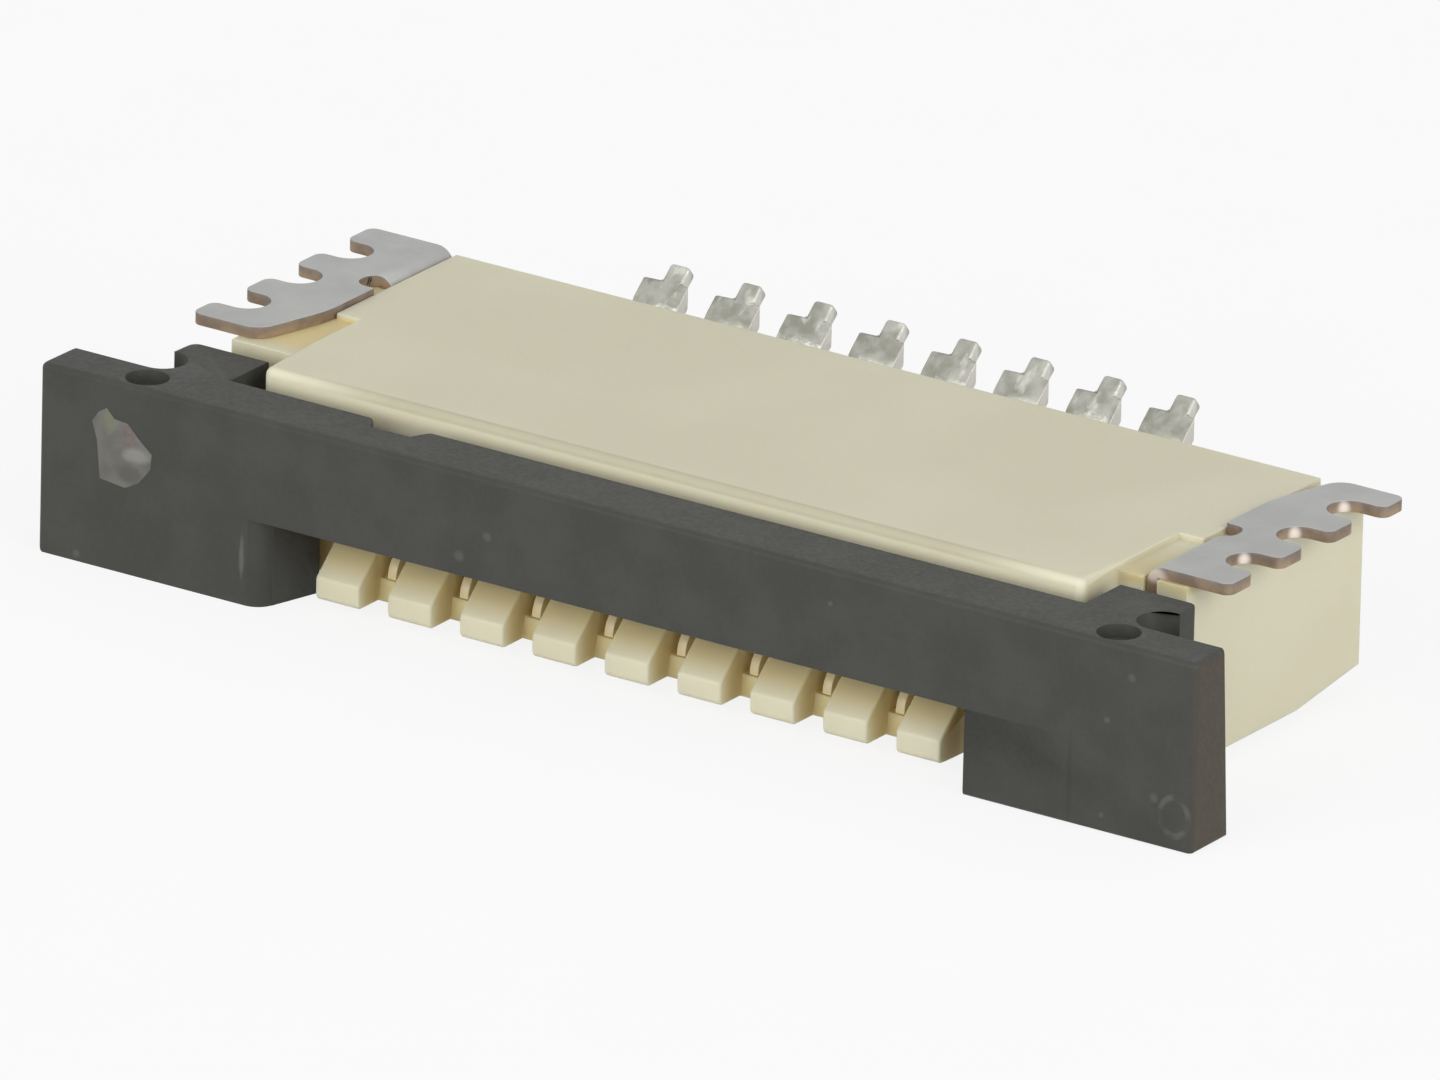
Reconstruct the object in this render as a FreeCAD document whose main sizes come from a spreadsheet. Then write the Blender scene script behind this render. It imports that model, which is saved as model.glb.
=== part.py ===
import FreeCAD, Part
import math
import os
import Sketcher
from FreeCAD import Vector

# Side-entry connector for a flat flexible film: 8 circuits at 1.00 mm pitch, with a slide lock.
# It lies on its top face with the board side up. X runs along the contact row, Y away from the
# mouth, Z towards the circuit board. Sketches measure Y from the slider's front face, and every
# sub-part's Placement then moves the middle of the whole depth to the origin.

SIZES = [
    ("circuits", 8, "number of contacts"),
    ("pitch", 1.0, "contact to contact"),
    ("film_clearance", 0.1, "film edge to the side of the mouth"),
    ("film_gap", 0.3, "height left for the film"),
    ("cheek", 1.05, "mouth side to the outside of the board block"),
    ("shelf_step", 0.33, "how far the board face widens behind the ears' step"),
    ("housing_lift", 0.14, "housing underside above the slider underside"),
    ("rib_setback", 0.34, "slider front face to the rib fronts"),
    ("rib_width", 0.6, "one rib between two contacts"),
    ("rib_height", 0.62, "rib above the housing underside"),
    ("rib_nose", 0.28, "upright front face of a rib"),
    ("rib_ramp", 0.37, "depth of the lead-in ramp on a rib"),
    ("rib_round", 0.08, "rounding of the long edges of the ribs"),
    ("web_setback", 0.42, "rib front to the web that closes the gap"),
    ("floor_web", 0.28, "floor under the contacts"),
    ("board_wall", 0.57, "wall between the slider tongue and the board face"),
    ("bar_gap", 0.29, "slider bar to the board block when closed"),
    ("arm_end_gap", 0.27, "slider arm to the ear when closed"),
    ("shelf_setback", 1.25, "ear front to the step where the board face widens"),
    ("rear_wall", 1.38, "thickness of the wall that holds the contacts"),
    ("tongue_end_gap", 0.3, "tongue tip to the end of the mouth"),
    ("bevel_depth", 1.32, "bevel at the rear of the underside, along Y"),
    ("bevel_rise", 0.18, "bevel at the rear of the underside, along Z"),
    ("ear_wall", 0.24, "outer wall of an ear beside the latch"),
    ("corner_radius", 0.12, "upright corners of the housing"),
    ("edge_radius", 0.04, "small rounding of moulded edges"),
    ("bar_height", 1.26, "front bar of the slider"),
    ("bar_depth", 0.86, "front bar, front to back"),
    ("wing_depth", 0.62, "end wings of the slider, front to back"),
    ("wing_taper", 0.16, "how much thicker the end wings are at the foot"),
    ("wing_overhang", 1.37, "wing beyond the housing side"),
    ("lead_in", 0.25, "how far the mouth sides of the slider flare to the front"),
    ("arm_gap", 0.22, "board block to the slider arm"),
    ("arm_width", 1.05, "slider arm along X"),
    ("arm_depth", 0.99, "slider arm behind the wing"),
    ("tongue_length", 3.04, "tongue behind the bar"),
    ("tongue_height", 0.74, "tongue thickness"),
    ("tongue_tip", 0.5, "tapered end of the tongue"),
    ("tongue_clearance", 0.07, "tongue to the board wall"),
    ("key_start", 0.39, "key notch in the bar, from the outermost circuit inwards"),
    ("key_width", 0.78, "key notch along X"),
    ("key_depth", 0.25, "key notch along Y"),
    ("relief_radius", 0.3, "notch at the root of each arm"),
    ("dimple_radius", 0.26, "round pocket in each wing"),
    ("dimple_inset", 0.24, "side of the slider arm to the middle of the round pocket"),
    ("dimple_depth", 0.15, "depth of the round pocket"),
    ("dimple_setback", 0.33, "slider front face to the middle of the round pocket"),
    ("panel_depth", 0.015, "shallow step in the front of each end block"),
    ("panel_width", 1.5, "width of the shallow step"),
    ("latch_offset", 1.3, "mouth side to the latch arm"),
    ("latch_width", 0.38, "latch arm along X"),
    ("latch_bottom", 0.55, "underside of the latch arm"),
    ("latch_height", 0.8, "latch arm along Z"),
    ("latch_length", 2.25, "latch arm behind the slider arm"),
    ("hook_length", 0.35, "latch hook along Y"),
    ("hook_reach", 0.14, "latch hook sideways"),
    ("latch_clearance", 0.06, "latch arm to the walls of its channel"),
    ("travel", 1.2, "slider travel, closed to open"),
    ("nail_thickness", 0.15, "fitting nail sheet"),
    ("nail_proud", 0.07, "solder face above the board face"),
    ("nail_length", 3.66, "fitting nail along Y"),
    ("nail_reach", 1.18, "fitting nail from its inner edge to the tooth tips"),
    ("nail_setback", 0.04, "ear front to the nail"),
    ("nail_clearance", 0.02, "nail to the housing"),
    ("tooth_pitch", 1.045, "tooth to tooth on the nail"),
    ("tooth_gap", 0.54, "open width between two teeth"),
    ("tooth_depth", 0.52, "depth between two teeth"),
    ("tooth_radius", 0.12, "rounding of the teeth"),
    ("nail_slant", 0.28, "inner edge set back at the free end"),
    ("nail_slant_run", 1.1, "length of that slanted edge"),
    ("nail_curve", 1.5, "soft turn into the slanted edge, as a radius"),
    ("nail_bend", 0.24, "outside radius of the fold into the leg"),
    ("bend_relief", 0.2, "half width of the notch beside the folded leg"),
    ("relief_depth", 0.3, "depth of that notch"),
    ("relief_round", 0.18, "rounding at the end of that notch"),
    ("relief_offset", 0.38, "nail middle to that notch"),
    ("leg_depth", 0.8, "folded leg below the plate"),
    ("strip", 0.2, "contact strip thickness"),
    ("root_width", 0.4, "contact in its channel"),
    ("beam_width", 0.3, "contact at the crest of its spring"),
    ("nose_width", 0.12, "contact at its nose"),
    ("nose_setback", 0.48, "rib front to the middle of the contact nose"),
    ("nose_drop", 0.08, "top of the nose below the crest"),
    ("nose_hook", 0.22, "how far the nose turns down towards the web"),
    ("crest_setback", 1.86, "rib front to the crest"),
    ("preload", 0.1, "crest above the ribs"),
    ("root_clearance", 0.04, "contact root to the top of its hole"),
    ("root_inset", 0.1, "start of the bend into the rear wall"),
    ("tail_width", 0.62, "solder tail"),
    ("nib_width", 0.27, "narrow end of the solder tail"),
    ("nib_length", 0.3, "length of the narrow end"),
    ("nib_shift", 0.06, "narrow end to one side of the tail"),
    ("tail_neck", 0.18, "rear wall to the wide part of the tail"),
    ("riser_foot", 0.44, "rear wall to the riser at its foot"),
    ("riser_head", 0.49, "rear wall to the riser at its head"),
    ("tail_reach", 1.0, "rear wall to the end of the tail"),
    ("tail_angle", 41.0, "slope of the solder tail in degrees"),
    ("tail_proud", 0.2, "tail end above the board face"),
    ("bend_radius", 0.12, "inside radius of the bends"),
]


class Size:
    """A number with the spreadsheet expression that gives it."""

    def __init__(self, text, number):
        self.text = text
        self.number = number

    def join(self, sign, other, number):
        text = other.text if isinstance(other, Size) else repr(other)
        return Size(f"({self.text} {sign} {text})", number)

    def __add__(self, other):
        return self.join("+", other, self.number + value_of(other))

    def __sub__(self, other):
        return self.join("-", other, self.number - value_of(other))

    def __mul__(self, other):
        return self.join("*", other, self.number * value_of(other))

    def __truediv__(self, other):
        return self.join("/", other, self.number / value_of(other))

    def __neg__(self):
        return Size(f"(0 - {self.text})", -self.number)


def value_of(item):
    return item.number if isinstance(item, Size) else item


def make_sheet(document):
    """The driving dimensions, in millimetres and degrees, each with an alias."""
    sheet = document.addObject("Spreadsheet::Sheet", "Sizes")
    named = {}
    for row, (alias, number, note) in enumerate(SIZES, start=1):
        sheet.set(f"A{row}", alias)
        sheet.set(f"B{row}", str(number))
        sheet.set(f"C{row}", note)
        sheet.setAlias(f"B{row}", alias)
        named[alias] = Size(f"Sizes.{alias}", number)
    document.recompute()
    return named


class Derived:
    """Places that several sub-parts share, worked out from the driving dimensions."""

    def __init__(self, size):
        self.mouth_half = (size["circuits"] + 1) * size["pitch"] / 2 + size["film_clearance"]
        self.tongue_half = self.mouth_half - size["film_clearance"]
        self.block_half = self.mouth_half + size["cheek"]
        self.shelf_half = self.block_half + size["shelf_step"]
        self.latch_inner = self.mouth_half + size["latch_offset"]
        self.latch_outer = self.latch_inner + size["latch_width"]
        self.ear_half = self.latch_outer + size["latch_clearance"] + size["ear_wall"]
        self.slider_half = self.ear_half + size["wing_overhang"]
        self.arm_inner = self.block_half + size["arm_gap"]
        self.arm_outer = self.arm_inner + size["arm_width"]
        self.first_contact = (size["circuits"] - 1) * size["pitch"] / -2
        self.comb_half = size["circuits"] * size["pitch"] / 2 + size["rib_width"] / 2
        self.slot_width = size["pitch"] - size["rib_width"]

        self.arm_back = size["wing_depth"] + size["arm_depth"]
        self.block_front = size["bar_depth"] + size["bar_gap"]
        self.ear_front = self.arm_back + size["arm_end_gap"]
        self.shelf_front = self.ear_front + size["shelf_setback"]
        self.web_front = size["rib_setback"] + size["web_setback"]
        self.tongue_end = size["bar_depth"] + size["tongue_length"]
        self.mouth_end = self.tongue_end + size["tongue_end_gap"]
        self.rear = self.mouth_end + size["rear_wall"]
        self.tail_end = self.rear + size["tail_reach"]
        self.latch_end = self.arm_back + size["latch_length"]
        self.hook_front = self.latch_end - size["hook_length"]
        self.nail_front = self.ear_front + size["nail_setback"]
        self.nail_middle = self.nail_front + size["nail_length"] / 2

        self.rib_top = size["housing_lift"] + size["rib_height"]
        self.bar_bottom = self.rib_top + size["film_gap"]
        self.slider_top = self.bar_bottom + size["bar_height"]
        self.tongue_top = self.bar_bottom + size["tongue_height"]
        self.mouth_top = self.tongue_top + size["tongue_clearance"]
        self.board_face = self.mouth_top + size["board_wall"]
        self.solder_face = self.board_face + size["nail_proud"]
        self.nail_seat = self.solder_face - size["nail_thickness"]
        self.nail_inner = self.shelf_half + size["nail_clearance"]
        self.nail_tip = self.nail_inner + size["nail_reach"]
        self.channel_floor = size["housing_lift"] + size["floor_web"]
        self.latch_top = size["latch_bottom"] + size["latch_height"]


def new_body(document, name):
    body = document.addObject("PartDesign::Body", name)
    body.Label = name
    return body


def origin_plane(body, role):
    for item in body.Origin.OriginFeatures:
        if item.Role == role:
            return item
    raise RuntimeError("no plane " + role)


def new_sketch(body, role, name, height=None):
    """A sketch on one of the body's own origin planes, or at a height above it."""
    sketch = body.newObject("Sketcher::SketchObject", name)
    sketch.AttachmentSupport = (origin_plane(body, role), "")
    sketch.MapMode = "FlatFace"
    if height is not None:
        sketch.setExpression("AttachmentOffset.Base.z", height.text)
    return sketch


def hold_point(sketch, curve, corner, spot, name):
    """Fix one point of a sketch curve by its two coordinates."""
    for axis, kind, item in (("x", "DistanceX", spot[0]), ("y", "DistanceY", spot[1])):
        rule = Sketcher.Constraint(kind, -1, 1, curve, corner, value_of(item))
        index = sketch.addConstraint(rule)
        label = f"{name}_{axis}"
        sketch.renameConstraint(index, label)
        if isinstance(item, Size):
            sketch.setExpression("Constraints." + label, item.text)


def add_polygon(sketch, spots, name="p"):
    """A closed outline of straight lines through the given points."""
    first = sketch.GeometryCount
    flat = [Vector(value_of(x), value_of(y), 0) for x, y in spots]
    for number, start in enumerate(flat):
        end = flat[(number + 1) % len(flat)]
        sketch.addGeometry(Part.LineSegment(start, end), False)
    for number in range(len(flat)):
        follower = (number + 1) % len(flat)
        sketch.addConstraint(Sketcher.Constraint("Coincident", first + number, 2, first + follower, 1))
    for number, spot in enumerate(spots):
        hold_point(sketch, first + number, 1, spot, f"{name}{number}")


def add_circle(sketch, middle, radius, name="c"):
    spot = Vector(value_of(middle[0]), value_of(middle[1]), 0)
    index = sketch.addGeometry(Part.Circle(spot, Vector(0, 0, 1), value_of(radius)), False)
    hold_point(sketch, index, 3, middle, name)
    rule = sketch.addConstraint(Sketcher.Constraint("Radius", index, value_of(radius)))
    sketch.renameConstraint(rule, name + "_radius")
    sketch.setExpression(f"Constraints.{name}_radius", radius.text)


def rectangle(left, front, right, back):
    return [(left, front), (right, front), (right, back), (left, back)]


def grow(body, kind, sketch, name, length=None, both_ways=False, backwards=False):
    """A Pad or Pocket of one sketch. With no length, it goes through everything."""
    feature = body.newObject("PartDesign::" + kind, name)
    feature.Profile = sketch
    if both_ways:
        feature.SideType = "Symmetric"
    if length is None:
        feature.Type = "ThroughAll"
    else:
        feature.setExpression("Length", length.text)
    feature.Reversed = backwards
    return feature


def mirror(body, features, name):
    """The same features again on the other side of the middle plane."""
    copy = body.newObject("PartDesign::Mirrored", name)
    copy.Originals = features
    copy.MirrorPlane = (origin_plane(body, "YZ_Plane"), [""])
    body.Tip = copy
    return copy


def round_edges(body, base, chosen, radius, name):
    """Fillet the edges of the last feature that a test picks out."""
    body.Document.recompute()
    names = [f"Edge{i}" for i, edge in enumerate(base.Shape.Edges, start=1) if chosen(edge)]
    fillet = body.newObject("PartDesign::Fillet", name)
    fillet.Base = (base, names)
    fillet.setExpression("Radius", radius.text)
    body.Tip = fillet
    return fillet


def near(a, b):
    return abs(a - value_of(b)) < 0.001


def upright(edge):
    """True for an edge that runs along Z."""
    box = edge.BoundBox
    return box.XLength < 0.001 and box.YLength < 0.001


def along_x(edge):
    box = edge.BoundBox
    return box.YLength < 0.001 and box.ZLength < 0.001


def place(body, across=None):
    """Move the middle of the whole depth to the origin, and a contact to its circuit."""
    body.setExpression("Placement.Base.y", f"0 - {at.tail_end.text} / 2")
    if across is not None:
        body.setExpression("Placement.Base.x", across.text)


def make_housing(document):
    """One moulding: board block, two ears, comb of ribs, mouth, contact channels, latch channels."""
    body = new_body(document, "housing")
    bottom = size["housing_lift"]
    bevel_start = at.rear - size["bevel_depth"]
    bevel_top = bottom + size["bevel_rise"]

    sketch = new_sketch(body, "YZ_Plane", "ear_section")
    add_polygon(sketch, [(at.ear_front, bottom), (bevel_start, bottom), (at.rear, bevel_top),
                         (at.rear, at.nail_seat), (at.ear_front, at.nail_seat)])
    grow(body, "Pad", sketch, "ears", at.ear_half * 2, both_ways=True)

    sketch = new_sketch(body, "YZ_Plane", "block_section")
    add_polygon(sketch, [(at.block_front, bottom), (bevel_start, bottom), (at.rear, bevel_top),
                         (at.rear, at.board_face), (at.block_front, at.board_face)])
    grow(body, "Pad", sketch, "board_block", at.block_half * 2, both_ways=True)

    sketch = new_sketch(body, "YZ_Plane", "shelf_section")
    add_polygon(sketch, rectangle(at.shelf_front, at.channel_floor, at.rear, at.board_face))
    grow(body, "Pad", sketch, "shelf", at.shelf_half * 2, both_ways=True)

    ramp_end = size["rib_setback"] + size["rib_ramp"]
    sketch = new_sketch(body, "YZ_Plane", "comb_section")
    add_polygon(sketch, [(size["rib_setback"], bottom), (at.block_front, bottom),
                         (at.block_front, at.rib_top), (ramp_end, at.rib_top),
                         (size["rib_setback"], bottom + size["rib_nose"])])
    comb = grow(body, "Pad", sketch, "comb", at.comb_half * 2, both_ways=True)
    round_edges(body, comb, lambda edge: along_x(edge) and near(edge.Length, at.comb_half * 2)
                and edge.BoundBox.YMin < value_of(ramp_end) + 0.001, size["rib_round"], "rib_edges")

    sketch = new_sketch(body, "YZ_Plane", "mouth_section")
    add_polygon(sketch, rectangle(-size["bar_gap"], at.rib_top, at.mouth_end, at.mouth_top))
    mouth = grow(body, "Pocket", sketch, "mouth", at.mouth_half * 2, both_ways=True)

    mouth = cut_latch_channels(body)
    mouth = cut_nail_slits(body)
    rounded = round_housing(body, mouth)
    cut_contact_channels(body, rounded)
    place(body)
    return body


def cut_latch_channels(body):
    """A blind channel in each ear for the latch arm, with a side pocket that its hook runs in."""
    gap = size["latch_clearance"]
    back = at.latch_end + gap
    pocket_front = at.hook_front - size["travel"] - size["nail_clearance"]
    sketch = new_sketch(body, "XY_Plane", "latch_channel_plan", size["latch_bottom"] - gap)
    add_polygon(sketch, [(at.latch_inner - gap, at.block_front), (at.latch_outer + gap, at.block_front),
                         (at.latch_outer + gap, back), (at.latch_inner - size["hook_reach"] - gap, back),
                         (at.latch_inner - size["hook_reach"] - gap, pocket_front),
                         (at.latch_inner - gap, pocket_front)])
    channel = grow(body, "Pocket", sketch, "latch_channel", size["latch_height"] + gap * 2, backwards=True)
    return mirror(body, [channel], "latch_channels")


def cut_nail_slits(body):
    """The slit in each ear for the folded leg of its fitting nail, open at the end of the ear."""
    gap = size["nail_clearance"]
    depth = size["leg_depth"] + gap
    for side, name in ((-1, "left"), (1, "right")):
        start, end = leg_span(side)
        if side < 0:
            front, back = start - gap, at.rear + gap
        else:
            front, back = at.ear_front - gap, end + gap
        inner = at.nail_inner - gap
        outer = at.nail_inner + size["nail_thickness"] + gap
        sketch = new_sketch(body, "XY_Plane", name + "_slit_plan", at.board_face)
        add_polygon(sketch, rectangle(inner * side, front, outer * side, back))
        slit = grow(body, "Pocket", sketch, name + "_slit", depth + at.board_face - at.nail_seat)
    return slit


def leg_span(side):
    """Front and back of the folded leg. One stamping serves both ends, turned half round."""
    half = size["nail_length"] / 2
    inner = size["relief_offset"] + size["bend_relief"]
    if side < 0:
        return at.nail_middle + inner, at.nail_middle + half
    return at.nail_middle - half, at.nail_middle - inner


def round_housing(body, base):
    """Round the front corners of the block, and soften the rear corners of the ears."""
    def front(edge):
        box = edge.BoundBox
        return upright(edge) and near(abs(box.XMin), at.block_half) and near(box.YMin, at.block_front)

    def back(edge):
        box = edge.BoundBox
        return upright(edge) and near(abs(box.XMin), at.ear_half) and near(box.YMin, at.rear)
    block = round_edges(body, base, front, size["corner_radius"], "block_corners")
    return round_edges(body, block, back, size["edge_radius"], "ear_corners")


def cut_contact_channels(body, base):
    """Channels for the contacts: open between the ribs, closed by a web, and a hole in the rear wall."""
    below = size["housing_lift"] - size["floor_web"]
    above = at.rib_top + size["preload"]
    hole_top = at.channel_floor + size["strip"] + size["root_clearance"]
    front = size["rib_setback"] - size["web_setback"]
    back = at.rear + size["rear_wall"]
    sketch = new_sketch(body, "YZ_Plane", "channel_section", at.first_contact)
    add_polygon(sketch, [(front, below), (at.web_front, below), (at.web_front, at.channel_floor),
                         (back, at.channel_floor), (back, hole_top), (at.mouth_end, hole_top),
                         (at.mouth_end, above), (front, above)])
    channel = grow(body, "Pocket", sketch, "contact_channel", at.slot_width, both_ways=True)
    row = body.newObject("PartDesign::LinearPattern", "contact_channels")
    row.Originals = [channel]
    row.Direction = (sketch, ["N_Axis"])
    row.Mode = "Spacing"
    row.setExpression("Offset", size["pitch"].text)
    row.setExpression("Occurrences", size["circuits"].text)
    body.Tip = row
    return row


def make_slider(document):
    """The pull-out lock: front bar, end blocks, tongue over the film, arms and hooked latches."""
    body = new_body(document, "slider")
    half = at.slider_half
    sketch = new_sketch(body, "XY_Plane", "slider_plan")
    key_left = at.first_contact - size["key_start"]
    key_right = key_left + size["key_width"]
    key_slope = size["key_depth"] / 2
    key_front = size["bar_depth"] - size["key_depth"]
    wing = size["wing_depth"]
    add_polygon(sketch, [(-half, 0.0), (half, 0.0), (half, wing), (at.arm_outer, wing),
                         (at.arm_outer, at.arm_back), (at.arm_inner, at.arm_back),
                         (at.arm_inner, size["bar_depth"]), (key_right, size["bar_depth"]),
                         (key_right - key_slope, key_front), (key_left + key_slope, key_front),
                         (key_left, size["bar_depth"]), (-at.arm_inner, size["bar_depth"]),
                         (-at.arm_inner, at.arm_back), (-at.arm_outer, at.arm_back),
                         (-at.arm_outer, wing), (-half, wing)])
    grow(body, "Pad", sketch, "slab", at.slider_top)

    sketch = new_sketch(body, "YZ_Plane", "wing_section")
    add_polygon(sketch, [(wing / 2, 0.0), (wing + size["wing_taper"], 0.0), (wing, at.slider_top),
                         (wing / 2, at.slider_top)])
    grow(body, "Pad", sketch, "wing_feet", half * 2, both_ways=True)

    flare = at.mouth_half + size["lead_in"]
    sketch = new_sketch(body, "XY_Plane", "opening_plan")
    add_polygon(sketch, [(-flare, 0.0), (flare, 0.0), (at.mouth_half, size["bar_depth"]),
                         (at.arm_inner, at.arm_back * 2), (-at.arm_inner, at.arm_back * 2),
                         (-at.mouth_half, size["bar_depth"])])
    grow(body, "Pocket", sketch, "opening", at.bar_bottom, backwards=True)

    add_tongue(body)
    add_latches(body)
    last = cut_wing_details(body)
    round_slider(body, last)
    place(body)
    return body


def add_tongue(body):
    """The tongue that presses the film onto the contacts, tapered at its tip."""
    taper = size["tongue_height"] / 3
    sketch = new_sketch(body, "YZ_Plane", "tongue_section")
    add_polygon(sketch, [(size["bar_depth"] / 2, at.bar_bottom), (at.tongue_end - size["tongue_tip"], at.bar_bottom),
                         (at.tongue_end, at.bar_bottom + taper), (at.tongue_end, at.tongue_top - taper / 2),
                         (at.tongue_end - taper, at.tongue_top), (size["bar_depth"] / 2, at.tongue_top)])
    return grow(body, "Pad", sketch, "tongue", at.tongue_half * 2, both_ways=True)


def add_latches(body):
    """A hooked latch arm behind each slider arm."""
    start = at.arm_back - size["arm_depth"] / 2
    sketch = new_sketch(body, "XY_Plane", "latch_plan", size["latch_bottom"])
    add_polygon(sketch, [(at.latch_inner, start), (at.latch_outer, start), (at.latch_outer, at.latch_end),
                         (at.latch_inner, at.latch_end),
                         (at.latch_inner - size["hook_reach"], at.latch_end - size["hook_reach"]),
                         (at.latch_inner - size["hook_reach"], at.hook_front),
                         (at.latch_inner, at.hook_front)])
    latch = grow(body, "Pad", sketch, "latch", size["latch_height"])
    return mirror(body, [latch], "latches")


def cut_wing_details(body):
    """Root notches and round pockets in the top, and the shallow step in each end block."""
    sketch = new_sketch(body, "XY_Plane", "relief_plan")
    relief_middle = size["wing_depth"] + size["relief_radius"]
    add_circle(sketch, (at.arm_outer - size["edge_radius"], relief_middle), size["relief_radius"])
    relief = grow(body, "Pocket", sketch, "relief", at.slider_top * 2, both_ways=True)

    sketch = new_sketch(body, "XY_Plane", "dimple_plan", at.slider_top)
    dimple_middle = at.arm_outer - size["dimple_inset"]
    add_circle(sketch, (dimple_middle, size["dimple_setback"]), size["dimple_radius"])
    dimple = grow(body, "Pocket", sketch, "dimple", size["dimple_depth"])

    sketch = new_sketch(body, "XZ_Plane", "panel_front")
    flare = at.mouth_half + size["lead_in"]
    margin = size["lead_in"]
    add_polygon(sketch, rectangle(flare - margin, -margin, flare + size["panel_width"], at.bar_bottom))
    panel = grow(body, "Pocket", sketch, "panel", size["panel_depth"])
    return mirror(body, [relief, dimple, panel], "wing_details")


def round_slider(body, base):
    """Round the outer upright corners of the wings and of the arms."""
    def wing(edge):
        return upright(edge) and near(abs(edge.BoundBox.XMin), at.slider_half)

    def arm(edge):
        box = edge.BoundBox
        return upright(edge) and near(abs(box.XMin), at.arm_outer) and near(box.YMin, at.arm_back)
    wings = round_edges(body, base, wing, size["edge_radius"], "wing_corners")
    return round_edges(body, wings, arm, size["corner_radius"], "arm_corners")


def make_nail(document, name, side):
    """A stamped fitting nail: toothed plate with a folded leg. Side is -1 left and 1 right."""
    body = new_body(document, name)
    turned = -side
    inner = at.nail_inner
    tip = at.nail_tip
    half = size["nail_length"] / 2

    def spot(across, along):
        """A point of the stamping: along runs from the nail's middle towards its leg."""
        return across * side, at.nail_middle + along * turned

    deep = inner + size["relief_depth"]
    notch_start = size["relief_offset"] - size["bend_relief"]
    notch_end = size["relief_offset"] + size["bend_relief"]
    slant_end = spot(inner, size["nail_slant_run"] - half)
    sketch = new_sketch(body, "XY_Plane", "plate_plan", at.nail_seat)
    add_polygon(sketch, [spot(inner + size["nail_slant"], -half), spot(tip, -half), spot(tip, half),
                         spot(inner, half), spot(inner, notch_end), spot(deep, notch_end),
                         spot(deep, notch_start), spot(inner, notch_start), slant_end])
    plate = grow(body, "Pad", sketch, "plate", size["nail_thickness"])

    def turn(edge):
        box = edge.BoundBox
        return upright(edge) and near(abs(box.XMin), inner) and near(box.YMin, slant_end[1])
    turned_plate = round_edges(body, plate, turn, size["nail_curve"], "slant_turn")
    round_edges(body, turned_plate, lambda edge: upright(edge) and near(abs(edge.BoundBox.XMin), deep),
                size["relief_round"], "notch_end")
    cut_teeth(body, spot, tip, turned)

    start, end = leg_span(side)
    outer = inner + size["nail_thickness"]
    sketch = new_sketch(body, "XY_Plane", "leg_plan", at.solder_face)
    add_polygon(sketch, rectangle(inner * side, start, outer * side, end))
    leg = grow(body, "Pad", sketch, "leg", size["leg_depth"] + size["nail_thickness"], backwards=True)

    def fold(edge):
        box = edge.BoundBox
        flat = near(abs(box.XMin), inner) and box.XLength < 0.001 and near(box.ZMin, at.solder_face)
        return flat and near(box.YMin, start) and near(box.YMax, end)
    round_edges(body, leg, fold, size["nail_bend"], "leg_fold")
    place(body)
    return body


def cut_teeth(body, spot, tip, turned):
    """Three round-ended gaps leave four teeth, and every tooth corner is rounded."""
    gap = size["tooth_gap"]
    bottom = tip - size["tooth_depth"] + gap / 2
    first = size["tooth_pitch"]
    sketch = new_sketch(body, "XY_Plane", "tooth_gap_plan", at.nail_seat)
    add_polygon(sketch, [spot(bottom, -gap / 2 - first), spot(tip + gap, -gap / 2 - first),
                         spot(tip + gap, gap / 2 - first), spot(bottom, gap / 2 - first)])
    straight = grow(body, "Pocket", sketch, "tooth_gap_mouth", size["nail_thickness"], backwards=True)
    sketch = new_sketch(body, "XY_Plane", "tooth_gap_end_plan", at.nail_seat)
    add_circle(sketch, spot(bottom, -first), gap / 2)
    end = grow(body, "Pocket", sketch, "tooth_gap_end", size["nail_thickness"], backwards=True)
    row = body.newObject("PartDesign::LinearPattern", "tooth_gaps")
    row.Originals = [straight, end]
    row.Direction = (sketch, ["V_Axis"])
    row.Reversed = turned < 0
    row.Mode = "Spacing"
    row.setExpression("Offset", size["tooth_pitch"].text)
    row.Occurrences = 3
    body.Tip = row

    def corner(edge):
        return upright(edge) and near(abs(edge.BoundBox.XMin), tip)
    return round_edges(body, row, corner, size["tooth_radius"], "tooth_corners")


def strip_outline(path, thickness):
    """The closed outline of a strip bent along a path, with sharp corners."""
    sides = ([], [])
    for number, spot in enumerate(path):
        before = path[max(number - 1, 0)]
        after = path[min(number + 1, len(path) - 1)]
        into = unit(before, spot) if number else unit(spot, after)
        out = unit(spot, after) if number < len(path) - 1 else into
        lean = (into[0] + out[0], into[1] + out[1])
        scale = thickness / (1 + into[0] * out[0] + into[1] * out[1])
        for side, sign in zip(sides, (0.5, -0.5)):
            side.append((spot[0] - lean[1] * scale * sign, spot[1] + lean[0] * scale * sign))
    return sides[1] + sides[0][::-1]


def unit(start, end):
    run = (end[0] - start[0], end[1] - start[1])
    length = math.hypot(*run)
    return run[0] / length, run[1] / length


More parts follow.
